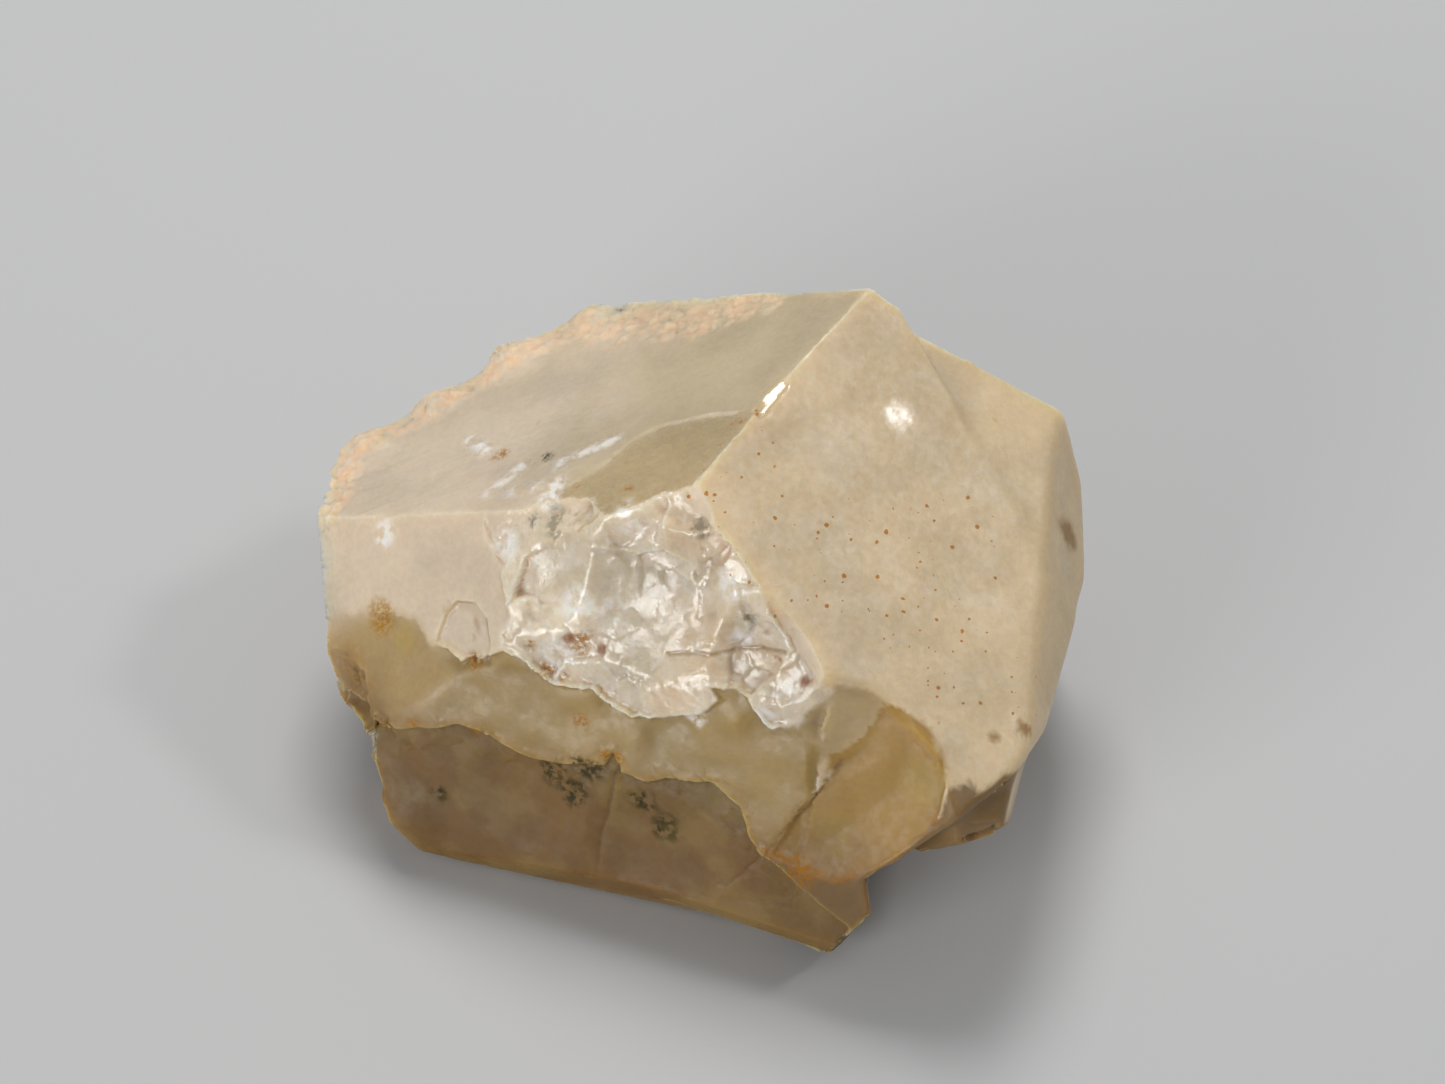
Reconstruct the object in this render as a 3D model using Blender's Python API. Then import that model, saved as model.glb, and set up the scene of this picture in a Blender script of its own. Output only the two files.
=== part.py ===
"""A phenakite crystal: one stubby, milky crystal with a chipped front, a set-back side and a broken root end.

The crystal is described the way a lapidary would describe it: every flat face has a compass azimuth, an
elevation above the horizon and a distance from the crystal's heart. The crown block, a set-back side block
and two small broken projections are cut that way and joined into one body. Shell-shaped fracture scars are
then scooped out of it. It rests on its broken base, with +Z up and the origin under the middle of its
bounding box.
"""

import math

import bmesh
import bpy
from mathutils import Vector

MM = 0.001

# Driving dimensions, in millimetres.
BLOCK_SIDE = 60.0
HEART = (0.28, -1.74, 9.1)  # the point inside the crystal that every face distance is measured from
BASE_DEPTH = 9.1            # from the heart down to the face it rests on
SIDE_BASE_DEPTH = 7.6       # the set-back side stops short of the ground
FOOT_BASE_DEPTH = 8.1       # and so does the front foot
CUT_TOLERANCE = 0.0001
WELD_DISTANCE = 0.01
BALL_SUBDIVISIONS = 4

# Look of the mineral: milky, faintly yellow, between waxy and glassy.
MILKY_COLOUR = (0.58, 0.50, 0.35, 1.0)
MILKY_ROUGHNESS = 0.42
MILKY_METALLIC = 0.0

# Plane faces: name, azimuth of the outward normal in degrees (0 = +X, 90 = +Y), its elevation in degrees,
# and its distance from the heart in millimetres.
CROWN_FACES = (
    ("left_roof", 157.0, 64.0, 6.82),
    ("left_roof_step", 150.0, 62.2, 6.91),
    ("right_roof", -42.0, 59.0, 6.29),
    ("left_shoulder", -139.5, 40.0, 6.05),
    ("front_patch", -112.5, 33.2, 4.64),
    ("front_band", -110.5, 23.3, 4.70),
    ("front_wall", -111.6, 14.2, 5.50),
    ("front_undercut", -104.5, -20.0, 9.15),
    ("front_right_underside", -48.0, -30.0, 10.8),
    ("right_low_corner", -30.5, -16.0, 12.3),
    ("right_wall", -15.5, 23.0, 11.40),
    ("right_lower", -7.5, 28.8, 11.41),
    ("right_tip", 2.0, 0.0, 13.95),
    ("right_underside", -15.0, -20.0, 12.3),
    ("crown_back_right", 24.5, 19.0, 11.54),
    ("back_wall", 66.5, 2.0, 10.5),
    ("back_left_wall", 117.5, 0.0, 13.7),
    ("root_back", 150.0, -5.0, 15.6),
    ("root_end", 172.0, -20.0, 14.0),
    ("root_front", -160.0, -15.0, 13.4),
    ("back_underside", 95.0, -42.0, 11.5),
    ("base", 0.0, -90.0, BASE_DEPTH),
)
SIDE_FACES = (
    ("side_roof", -33.0, 65.8, 6.62),
    ("side_right_roof", -42.0, 59.0, 6.20),
    ("side_right_wall", -15.5, 23.0, 11.33),
    ("side_right_tip", 2.0, 0.0, 13.88),
    ("side_right_underside", -15.0, -20.0, 12.2),
    ("side_back", 57.0, 35.0, 12.5),
    ("side_back_right", 22.0, 5.0, 14.8),
    ("side_back_wall", 66.5, -2.0, 11.4),
    ("side_left", 180.0, 0.0, -7.3),
    ("side_front", -90.0, 0.0, 4.0),
    ("side_underside", 40.0, -40.0, 11.5),
    ("side_base", 0.0, -90.0, SIDE_BASE_DEPTH),
)
FOOT_FACES = (
    ("foot_top", 70.0, 25.0, -7.2),
    ("foot_band", -110.5, 23.3, 4.66),
    ("foot_wall", -111.6, 14.2, 5.47),
    ("foot_undercut", -112.0, -22.0, 9.3),
    ("foot_corner", -42.0, -24.0, 11.78),
    ("foot_right", 7.5, 7.0, 3.89),
    ("foot_back", 90.0, 0.0, 2.0),
    ("foot_left", 180.0, 0.0, 2.3),
    ("foot_base", 0.0, -90.0, FOOT_BASE_DEPTH),
)
SPUR_FACES = (
    ("spur_top", -50.0, 56.0, 6.0),
    ("spur_left", -155.0, 5.0, -4.3),
    ("spur_front", -68.0, 12.0, 10.65),
    ("spur_right", -15.0, 0.0, 12.1),
    ("spur_underside", -70.0, -35.0, 10.2),
    ("spur_back", 90.0, 0.0, -4.0),
    ("spur_base", 0.0, -90.0, 5.0),
)

# Fracture scars: name, azimuth and elevation of the scooping ball seen from the heart, the distance of the
# ball's middle from the heart, and its radius.
SCARS = (
    ("yellow_scar", -63.5, 6.0, 11.3, 3.9),
    ("yellow_scar_top", -57.5, 18.0, 9.9, 2.7),
    ("patch_top", -178.5, 50.0, 12.05, 5.2),
    ("patch_left", -147.0, 36.5, 13.1, 7.5),
    ("patch_middle", -118.0, 41.0, 12.3, 8.1),
    ("patch_right", -85.5, 36.5, 9.6, 4.8),
    ("patch_crest", -125.5, 70.0, 9.8, 3.6),
    ("wall_scar", -109.0, -8.5, 17.0, 10.6),
    ("wall_scar_left", -127.0, -7.0, 17.7, 10.7),
    ("root_scar", -174.0, -10.5, 15.2, 2.5),
    ("root_low_scar", 165.0, -30.0, 17.6, 5.5),
    ("back_scar", 88.0, -4.0, 16.8, 7.0),
    ("back_low_scar", 70.0, -28.0, 16.5, 6.0),
    ("right_low_scar", -20.0, -32.0, 16.2, 5.5),
)


def clear_scene():
    """An empty file to build in."""
    for old in list(bpy.data.objects):
        bpy.data.objects.remove(old)


def new_collection(name):
    """A collection of that name, linked to the scene."""
    collection = bpy.data.collections.new(name)
    bpy.context.scene.collection.children.link(collection)
    return collection


def outward(azimuth, elevation):
    """The unit vector that points that way, angles in degrees."""
    az = math.radians(azimuth)
    el = math.radians(elevation)
    return Vector((math.cos(el) * math.cos(az), math.cos(el) * math.sin(az), math.sin(el)))


def heart():
    """The crystal's heart, in metres."""
    return Vector(HEART) * MM


def cut_by_plane(shape, normal, distance):
    """Takes away everything beyond one plane face and closes the cut with that face."""
    everything = shape.verts[:] + shape.edges[:] + shape.faces[:]
    cut = bmesh.ops.bisect_plane(
        shape,
        geom=everything,
        dist=CUT_TOLERANCE * MM,
        plane_co=normal * distance * MM,
        plane_no=normal,
        clear_outer=True,
    )
    rim = [item for item in cut["geom_cut"] if isinstance(item, bmesh.types.BMEdge)]
    bmesh.ops.contextual_create(shape, geom=rim)


def cut_block(name, faces, collection):
    """A block cut by each plane face in turn: one closed convex body."""
    shape = bmesh.new()
    bmesh.ops.create_cube(shape, size=BLOCK_SIDE * MM)
    for _, azimuth, elevation, distance in faces:
        cut_by_plane(shape, outward(azimuth, elevation), distance)
    bmesh.ops.recalc_face_normals(shape, faces=shape.faces)
    bmesh.ops.translate(shape, verts=shape.verts, vec=heart())
    mesh = bpy.data.meshes.new(name)
    shape.to_mesh(mesh)
    shape.free()
    body = bpy.data.objects.new(name, mesh)
    collection.objects.link(body)
    return body


def scar_ball(name, azimuth, elevation, distance, radius, collection):
    """The ball that scoops one fracture scar."""
    shape = bmesh.new()
    bmesh.ops.create_icosphere(shape, subdivisions=BALL_SUBDIVISIONS, radius=radius * MM)
    bmesh.ops.translate(shape, verts=shape.verts, vec=heart() + outward(azimuth, elevation) * distance * MM)
    mesh = bpy.data.meshes.new(name)
    shape.to_mesh(mesh)
    shape.free()
    ball = bpy.data.objects.new(name, mesh)
    collection.objects.link(ball)
    return ball


def combine(crystal, tool, operation):
    """Joins a block to the crystal, or takes a ball out of it."""
    tool.hide_render = True
    tool.display_type = "WIRE"
    step = crystal.modifiers.new(tool.name, "BOOLEAN")
    step.operation = operation
    step.solver = "EXACT"
    step.object = tool


def weld_slivers(crystal):
    """Closes the tiniest slivers the cuts leave behind."""
    weld = crystal.modifiers.new("weld_slivers", "WELD")
    weld.merge_threshold = WELD_DISTANCE * MM


def milky_phenakite():
    """Milky phenakite: pale, faintly yellow, softly shining."""
    material = bpy.data.materials.new("milky_phenakite")
    material.use_nodes = True
    surface = material.node_tree.nodes["Principled BSDF"]
    surface.inputs["Base Color"].default_value = MILKY_COLOUR
    surface.inputs["Roughness"].default_value = MILKY_ROUGHNESS
    surface.inputs["Metallic"].default_value = MILKY_METALLIC
    material.diffuse_color = MILKY_COLOUR
    return material


def phenakite_crystal(body_collection, tool_collection):
    """The whole crystal: crown, set-back side, foot and spur, with its fracture scars."""
    crystal = cut_block("phenakite_crystal", CROWN_FACES, body_collection)
    for name, faces in (("side", SIDE_FACES), ("foot", FOOT_FACES), ("spur", SPUR_FACES)):
        combine(crystal, cut_block(name, faces, tool_collection), "UNION")
    for name, azimuth, elevation, distance, radius in SCARS:
        combine(crystal, scar_ball(name, azimuth, elevation, distance, radius, tool_collection), "DIFFERENCE")
    weld_slivers(crystal)
    crystal.data.materials.append(milky_phenakite())
    return crystal


def main():
    clear_scene()
    crystal_collection = new_collection("phenakite_crystal")
    tool_collection = new_collection("cutters")
    phenakite_crystal(crystal_collection, tool_collection)


main()
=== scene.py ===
"""Looks of the phenakite crystal: the CAD solid is remeshed finely, then steps, chips, ripples, growth
lines, frosting and crust are carved into it, and one procedural mineral material is laid over it.

Lengths are millimetres, and places are measured from the crystal's heart, unless a comment says otherwise.
A facet's own coordinates are (along, up): along is level, to the right as one faces it; up is up its slope.
"""

import itertools
import math
from types import SimpleNamespace

import bmesh
import bpy
import numpy as np
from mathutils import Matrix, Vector


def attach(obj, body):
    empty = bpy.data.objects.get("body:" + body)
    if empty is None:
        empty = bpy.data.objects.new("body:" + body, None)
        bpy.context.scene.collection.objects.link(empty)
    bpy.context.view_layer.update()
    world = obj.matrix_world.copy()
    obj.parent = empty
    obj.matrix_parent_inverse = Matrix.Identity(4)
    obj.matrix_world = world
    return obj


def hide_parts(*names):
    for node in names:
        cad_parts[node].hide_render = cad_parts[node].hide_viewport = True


# A millimetre in metres, a distance past everything, and a stand-in for zero in a division.
MM = 0.001
FAR = 1e9
TINY = 1e-9
NODE = "phenakite_crystal"

# The part's own heart, which its faces are measured from.
HEART = np.array((0.28, -1.74, 9.1))

FINE_CELL = 0.085
FACE_LIMIT = 190000


# ---- faces and places


def smooth(low, high, value):
    """0 on low's side, 1 on high's side, and a soft ramp between; low may be the larger number."""
    t = np.clip((value - low) / (high - low), 0.0, 1.0)
    return t * t * (3.0 - 2.0 * t)


class Facet:
    """A plane face: azimuth and elevation of its outward normal in degrees, and its height over the heart."""

    def __init__(self, azimuth, elevation, distance):
        az = math.radians(azimuth)
        el = math.radians(elevation)
        self.normal = np.array((math.cos(el) * math.cos(az), math.cos(el) * math.sin(az), math.sin(el)))
        self.distance = distance
        self.along = np.cross((0.0, 0.0, 1.0), self.normal)
        self.along /= np.linalg.norm(self.along)
        self.up = np.cross(self.normal, self.along)

    def flat(self, points):
        """(along, up) of each point."""
        return np.stack([points @ self.along, points @ self.up], axis=1)

    def height(self, points):
        """How far each point stands above the face."""
        return points @ self.normal - self.distance

    def on(self, points, normals, thickness):
        """1 where a point belongs to the face, 0 where it doesn't."""
        close = 1.0 - smooth(0.5 * thickness, thickness, np.abs(self.height(points)))
        return close * smooth(0.75, 0.92, normals @ self.normal)


# The faces that carry detail, and all those that grew rather than broke.
LEFT_ROOF = Facet(157.0, 64.0, 6.82)
RIGHT_ROOF = Facet(-42.0, 59.0, 6.29)
SIDE_ROOF = Facet(-33.0, 65.8, 6.62)
SHOULDER = Facet(-139.5, 40.0, 6.05)
PATCH = Facet(-112.5, 33.2, 4.64)
BAND = Facet(-110.5, 23.3, 4.70)
WALL = Facet(-111.6, 14.2, 5.50)
RIGHT_WALL = Facet(-15.5, 23.0, 11.40)
GROWN_FACES = (LEFT_ROOF, RIGHT_ROOF, SIDE_ROOF, SHOULDER, PATCH, BAND, WALL, RIGHT_WALL)

# Outlines and lines on the front, in the band's (along, up). The patch is the glassy broken place, the hem
# the shoulder's lower edge, and the wall step the band's lower edge.
PATCH_LIP = (
    (-6.1, -1.0), (-5.3, -1.2), (-4.3, -1.6), (-2.6, -1.5), (-1.4, -2.0), (-0.3, -1.9), (0.8, -1.5),
    (1.7, -1.0), (2.0, -0.4), (1.7, 0.1), (3.1, 0.0), (4.0, -0.9), (5.1, -0.4), (5.9, 0.9),
)
PATCH_TOP = (
    (5.9, 1.1), (4.1, 2.3), (2.8, 4.0), (1.6, 5.0), (0.7, 5.6), (-0.7, 6.4), (-2.5, 5.9), (-4.1, 5.3),
    (-5.8, 4.8), (-7.2, 4.0), (-8.2, 2.9), (-7.8, 2.1), (-6.9, 1.5), (-6.3, 0.4),
)
SHOULDER_HEM = (
    (-14.0, -2.9), (-12.9, -2.6), (-10.8, -1.7), (-9.6, -1.7), (-9.0, -1.95), (-8.3, -1.8), (-7.7, -2.0),
    (-7.0, -1.6), (-6.1, -1.0),
)
WALL_STEP = (
    (-12.5, -5.6), (-9.7, -5.6), (-8.8, -5.1), (-7.4, -4.5), (-6.5, -4.5), (-4.9, -5.0), (-3.3, -4.8),
    (-1.8, -4.4), (-1.5, -3.7), (-1.1, -4.5), (-0.1, -4.5), (0.6, -4.1), (2.3, -3.8), (3.4, -4.4),
    (3.9, -5.4), (4.6, -6.1), (6.1, -6.9), (8.0, -8.0),
)
ARCH = ((-8.9, -1.9), (-8.8, -0.9), (-8.4, -0.2), (-7.6, 0.1), (-6.9, -0.2), (-6.5, -1.0), (-6.4, -1.9))
LENS = (0.6, -1.0)
LENS_REACH = 1.7
LENS_SQUASH = (1.0, 1.6)
RIPPLE_MIDDLE = (1.9, 0.6)
UPRIGHT_CRACK = ((-1.2, -4.2), (-1.3, -5.7), (-1.6, -7.3), (-1.6, -9.5))
SCAR_CRACK = ((6.6, -1.9), (5.6, -3.8), (4.7, -5.9), (3.8, -7.3), (3.1, -8.1))
TOP_CHIP = (
    (4.8, -0.5), (5.7, -1.2), (6.5, -2.2), (7.2, -1.6), (7.8, -0.8), (8.4, 0.6), (7.2, 1.1), (6.0, 1.3),
)
SCAR = (
    (4.8, -5.9), (5.6, -3.8), (6.5, -2.2), (7.2, -1.6), (7.8, -0.8), (8.4, 0.6), (9.3, 0.1), (9.9, -0.4),
    (10.5, -1.4), (10.4, -2.9), (9.6, -4.1), (8.8, -5.0), (7.3, -6.2), (6.0, -6.1),
)
SCAR_LIP = ((4.7, -5.9), (6.0, -6.1), (7.3, -6.2), (8.8, -5.0), (9.7, -4.0), (10.5, -2.6))
FOOT_TOP = SCAR_LIP + ((10.6, -1.4), (11.2, -1.3), (11.6, -1.6), (12.1, -1.2), (12.8, -1.5), (13.6, -1.2))
CREASE = ((-10.0, -5.3), (-8.2, -3.3), (-7.0, -1.7))
AMBER_CRACK = ((-0.1, 0.6), (1.8, 1.2), (4.0, 1.9))
THIN_RIDGE = ((-3.7, 3.6), (-2.2, 3.8))

# The glassy patch's plates: middle (along, up), slope along, slope up, lift.
PLATES = (
    (-5.6, 3.9, 0.05, -0.20, -0.10),
    (-7.2, 2.4, 0.30, -0.15, -0.02),
    (-4.6, 2.0, 0.10, 0.10, -0.16),
    (-2.6, 2.5, -0.10, 0.14, -0.12),
    (-4.2, 0.2, -0.12, 0.16, 0.02),
    (-2.0, 0.2, 0.08, 0.10, -0.08),
    (-2.2, 5.0, -0.05, -0.06, 0.04),
    (0.0, 5.2, -0.14, 0.10, 0.06),
    (-0.9, 2.6, 0.20, -0.10, -0.20),
    (1.6, 3.8, 0.16, -0.14, -0.04),
    (1.3, 1.4, -0.10, -0.05, 0.08),
    (2.9, 1.5, 0.20, 0.20, 0.00),
    (4.4, 0.5, -0.20, 0.16, -0.02),
)

# Places on the front, as (along, up, reach) in the band's coordinates.
CHIPPED = (
    (-6.9, 2.5, 1.0), (-5.8, 4.3, 0.8), (-4.4, -0.9, 0.9), (-2.2, -1.4, 0.8), (-1.4, 2.5, 0.6),
    (4.5, -0.2, 0.9),
)
# White spots: mostly white veils and clouds in the mineral; the one on the shoulder at (-12.0, 0.5) is a
# painted highlight, and the one on the lens at (1.3, -1.4) a painted sheen.
WHITE_AND_HIGHLIGHT_SPOTS = (
    (-6.9, 2.4, 0.7), (-5.8, 4.2, 0.6), (-3.7, 1.3, 0.9), (-2.4, 1.4, 0.6), (-4.0, -0.6, 0.9),
    (1.6, 3.7, 0.8), (2.3, 1.8, 0.6), (4.2, 0.5, 0.5), (3.8, -0.6, 0.4), (1.3, -1.4, 0.5),
    (-2.4, 4.9, 0.7), (-12.0, 0.5, 0.6),
)
BEIGE_SPOTS = ((0.4, -1.0, 1.1), (1.4, 1.5, 1.9), (-0.3, 5.1, 1.3), (3.4, 1.3, 1.2), (0.9, 4.4, 1.0))
CALM_SPOTS = ((-4.2, 2.3, 2.6), (-2.3, 2.0, 2.2), (-0.4, 0.9, 1.8), (1.2, 2.4, 1.4))
CLEAR_SPOTS = (
    (-4.4, 2.6, 1.6), (-3.0, 2.9, 1.4), (-5.4, 3.7, 0.9), (-1.2, 2.9, 0.9), (-1.0, -0.2, 1.0),
    (2.4, 2.7, 0.7),
)
# Dark spots: those just below the wall's step, from (-3.6, -5.5) to (0.8, -6.5), are dark veins with painted
# shadow under the step; the others are dark marks in the mineral.
DARK_SPOTS_AND_STEP_SHADOW = (
    (-3.6, -5.5, 0.8), (-2.7, -6.1, 0.8), (-2.4, -4.8, 0.8), (-0.1, -5.6, 0.8), (0.8, -6.5, 0.8),
    (-8.0, -8.0, 0.4), (0.2, 5.4, 0.5), (-5.3, 3.8, 0.5), (-6.2, 3.5, 0.35), (2.6, 2.7, 0.35),
)
AMBER_SPOTS = (
    (-4.4, -1.2, 0.35), (-3.8, -1.3, 0.3), (-5.0, -0.6, 0.25), (-7.0, -1.8, 0.45), (-1.3, -3.8, 0.3),
    (0.2, -4.3, 0.25), (-6.6, -4.7, 0.3), (-2.8, -2.9, 0.4), (3.8, 1.6, 0.2), (6.0, -6.2, 0.8),
    (-11.4, -2.1, 0.8), (-3.2, 0.0, 0.7), (-1.8, -3.9, 0.3), (-9.0, -5.0, 0.3),
)
RED_SPOTS = ((3.2, 2.3, 0.17), (4.8, 1.0, 0.3), (-3.6, 0.1, 0.3), (-2.4, -0.1, 0.25), (-7.0, -1.7, 0.15))
YELLOW_SPOTS = ((-11.4, -2.1, 0.8), (-10.2, -2.4, 0.6), (9.6, -1.6, 1.2), (6.8, -4.6, 1.0))
DARK_LINES = (
    ((-5.4, 3.9), (-4.9, 4.15), (-4.5, 4.2)),
    ((-4.2, 3.9), (-4.0, 4.3), (-4.2, 4.8)),
    ((-8.8, -0.9), (-8.4, -0.3), (-7.8, -0.1)),
    ((-7.8, -0.1), (-7.3, -0.7), (-7.3, -1.4)),
    ((-7.0, -0.3), (-6.6, -1.0)),
)

# The dirty left end beside the front, as (x, y, z, reach): soiled places and the darkest ones.
SOILED_END = ((-12.9, 0.0, -2.9, 1.1), (-12.6, -1.2, -3.4, 0.9), (-12.1, -2.2, -3.6, 0.9))
DARK_END = ((-12.1, -2.3, -3.6, 0.6), (-12.8, 0.1, -3.0, 0.4))

# Places on the right roof, in its own (along, up) coordinates.
SPECKLED = (
    (0.7, 4.9, 3.4), (-0.2, 1.4, 3.4), (2.2, -1.2, 3.6), (3.6, -4.4, 3.4), (3.3, -8.0, 2.6),
    (6.5, -3.5, 2.5),
)
SOILED = ((3.7, -9.9, 0.45), (2.5, -9.4, 0.4), (11.0, -5.9, 0.75))
POLISHED = ((7.8, 1.3, 0.8),)

# On the left roof, in its own (along, up) coordinates: raised streaks that carry a painted highlight, a dark
# hair line and stains.
ROOF_STREAKS = (
    ((-1.1, -5.3), (0.3, -6.0)),
    ((0.3, -4.9), (0.0, -3.2)),
    ((-1.2, -3.6), (-2.3, -1.8)),
    ((-2.8, -8.7), (-2.0, -7.4)),
)
ROOF_HAIR = ((-1.4, -1.5), (-1.2, -1.1), (-1.1, -0.6))
ROOF_DARK = ((-1.5, -4.5, 0.4), (-1.8, -6.7, 0.25))
ROOF_AMBER = ((-1.8, -6.7, 0.45), (0.1, -2.3, 0.25), (0.3, 0.1, 0.25))

# Left roof: the lower growth layer, its raised edge first, the direction across the growth lines, and
# the crusted rim.
GROWTH_EDGE = ((-3.6, 3.9), (-3.4, 1.4), (-3.0, -0.2), (-2.2, -1.1), (-0.9, -1.7), (0.4, -3.1))
GROWTH_REST = ((3.0, -2.5), (1.5, 2.5))
GROWTH_ACROSS = (0.86, 0.51)
CRUST_RIM = ((-9.9, 1.0), (-9.9, -6.8), (-5.6, -11.0), (-2.2, -14.0), (1.2, -13.4))

# The small bevel on the main ridge: its middle, its own normal, the ridge's direction and half its length.
BEVEL_MIDDLE = (2.16, 3.68, 7.725)
BEVEL_NORMAL = (-0.012, -0.099, 0.995)
RIDGE_RUN = (0.55, 0.83, 0.09)
BEVEL_LENGTH = 0.95
BEVEL_REACH = 1.5

# The lower left corner of the front: its rounded tip, then the hollow and the swelling beside it, each as
# (x, y, z, reach, height).
WORN_CORNER = (-10.5, -4.1, -8.1)
SWELLINGS = ((-12.6, -2.4, -3.8, 2.0, -0.45), (-11.2, -3.8, -7.0, 1.9, 0.45))

# Lumps on the root end's upper rim, written the same way, and the places (x, y, z, reach) where wear rounds
# the spur at the lower right.
RIM_LUMPS = (
    (-12.7, 8.2, -0.3, 2.0, 0.50), (-10.2, 9.9, 0.5, 1.6, 0.35), (-7.2, 11.2, 1.4, 1.9, 0.40),
    (-4.4, 12.5, 2.4, 1.2, 0.20),
)
SPUR = ((8.8, -8.4, -0.4, 1.6), (9.9, -7.8, -1.0, 1.6), (10.4, -7.2, -0.8, 1.2))

# The planes of the yellow scar and of the chip above it.
SCAR_FACE = Facet(-112.8, 32.3, 3.48)
CHIP_FACE = Facet(-93.0, 22.5, 5.76)

# How deep or high the carved details are.
HEM_STEP = 0.32
WALL_STEP_DEPTH = 0.30
PATCH_SINK = 0.10
LENS_RISE = 0.18
RIPPLE_HEIGHT = 0.012
THIN_RIDGE_HEIGHT = 0.07
ARCH_DEPTH = 0.16
UPRIGHT_CRACK_DEPTH = 0.09
FINE_CRACK_DEPTH = 0.05
SCAR_HOLLOW = 0.30
CHIP_HOLLOW = 0.15
SCAR_RIM = 0.10
CHIP_RIM = 0.55
FINE_GRAIN = 0.012

# How far one round of softening moves a vertex towards its neighbours' middle.
SOFTEN_STEP = 0.6

# How far the fracture's shells are moved within their noise.
SHELL_SHIFT = 40.0


# ---- random fields


def hashed(lattice, seed):
    """A repeatable random number from 0 to 1 for each row of whole numbers."""
    h = np.full(len(lattice), (seed * 2654435761) & 0xFFFFFFFF, dtype=np.uint64)
    for column, prime in zip(lattice.T, (374761393, 668265263, 2147483647)):
        h = (h ^ ((column.astype(np.int64) & 0xFFFFFFFF).astype(np.uint64) * prime)) & 0xFFFFFFFF
        h = ((h ^ (h >> 15)) * 2246822519) & 0xFFFFFFFF
        h = ((h ^ (h >> 13)) * 3266489917) & 0xFFFFFFFF
    h = h ^ (h >> 16)
    return h.astype(float) / 0xFFFFFFFF


def value_noise(points, size, seed):
    """Smooth noise from -1 to 1 with bumps about size across."""
    q = points / size
    base = np.floor(q).astype(np.int64)
    t = q - base
    t = t * t * (3.0 - 2.0 * t)
    total = np.zeros(len(points))
    for corner in range(8):
        step = np.array((corner & 1, (corner >> 1) & 1, (corner >> 2) & 1))
        weight = np.prod(np.where(step == 1, t, 1.0 - t), axis=1)
        total += weight * hashed(base + step, seed)
    return total * 2.0 - 1.0


def rough_noise(points, size, seed, octaves=4):
    """Noise with ever finer bumps on it, from about -1 to 1."""
    total = np.zeros(len(points))
    for octave in range(octaves):
        total += value_noise(points, size / 2.0**octave, seed + octave) / 2.0**octave
    return total / 1.6


def random_rows(lattice, seed):
    """Three repeatable random numbers from 0 to 1 for each row of whole numbers."""
    return np.stack([hashed(lattice, seed + axis) for axis in range(3)], axis=1)


def near_cells(points, size, seed):
    """Each of the 27 cells around every point, and the point's offset from the cell's scattered middle."""
    q = points / size
    base = np.floor(q).astype(np.int64)
    for step in itertools.product((-1, 0, 1), repeat=3):
        cell = base + np.array(step)
        yield cell, q - (cell + random_rows(cell, seed))


def cells(points, size, seed):
    """Distance to the nearest of scattered points, in cell sizes, and that point's random tag."""
    nearest = np.full(len(points), FAR)
    tag = np.zeros(len(points))
    for cell, offset in near_cells(points, size, seed):
        gap = np.linalg.norm(offset, axis=1)
        tag = np.where(gap < nearest, hashed(cell, seed + 3), tag)
        nearest = np.minimum(nearest, gap)
    return nearest, tag


def shards(points, size, seed, tilt):
    """Heights of flat chips, each about size across and tilted its own way."""
    nearest = np.full(len(points), FAR)
    height = np.zeros(len(points))
    for cell, offset in near_cells(points, size, seed):
        lean = random_rows(cell, seed + 3) * 2.0 - 1.0
        gap = np.linalg.norm(offset, axis=1)
        height = np.where(gap < nearest, np.sum(lean * offset, axis=1), height)
        nearest = np.minimum(nearest, gap)
    return height * size * tilt


def only(mask, function, points):
    """A slow function's values where the mask is above zero, times the mask."""
    result = np.zeros(len(points))
    chosen = mask > 0.001
    result[chosen] = function(points[chosen]) * mask[chosen]
    return result


def chips(mask, points, size, seed, tilt):
    """Shards where the mask is above zero."""
    return only(mask, lambda some: shards(some, size, seed, tilt), points)


def near(gap, inner, outer):
    """1 nearer than inner, 0 farther than outer, from each point's distance to something."""
    return 1.0 - smooth(inner, outer, gap)


# ---- distances to outlines


def line_distance(flat, line):
    """Distance from each point to an open line of straight runs."""
    best = np.full(len(flat), FAR)
    for start, end in zip(line[:-1], line[1:]):
        a = np.array(start)
        run = np.array(end) - a
        t = np.clip(((flat - a) @ run) / (run @ run), 0.0, 1.0)
        best = np.minimum(best, np.linalg.norm(flat - a - t[:, None] * run, axis=1))
    return best


def nearest_line(flat, lines):
    """Distance from each point to the nearest of several lines."""
    return np.min([line_distance(flat, line) for line in lines], axis=0)


def inside(flat, outline):
    """True for each point inside a closed outline."""
    result = np.zeros(len(flat), dtype=bool)
    for start, end in zip(outline, outline[1:] + outline[:1]):
        crosses = (start[1] > flat[:, 1]) != (end[1] > flat[:, 1])
        rise = end[1] - start[1]
        reach = start[0] + (end[0] - start[0]) * (flat[:, 1] - start[1]) / (rise if rise else TINY)
        result ^= crosses & (flat[:, 0] < reach)
    return result


def inset(flat, outline):
    """Distance to a closed outline: positive inside it, negative outside."""
    gap = line_distance(flat, outline + outline[:1])
    return np.where(inside(flat, outline), gap, -gap)


def below(flat, line, depth=9.0):
    """Distance below a line that runs left to right: positive under it, down to depth, or else negative."""
    outline = tuple(line) + ((line[-1][0], line[-1][1] - depth), (line[0][0], line[0][1] - depth))
    gap = line_distance(flat, line)
    return np.where(inside(flat, outline), gap, -gap)


def jagged(flat, points, amount, seed, size=0.9):
    """Facet coordinates shaken a little, so an outline drawn in them comes out ragged."""
    along = rough_noise(points, size, seed, octaves=3)
    up = rough_noise(points, size, seed + 7, octaves=3)
    return flat + amount * np.stack([along, up], axis=1)


# ---- the carved mesh


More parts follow.
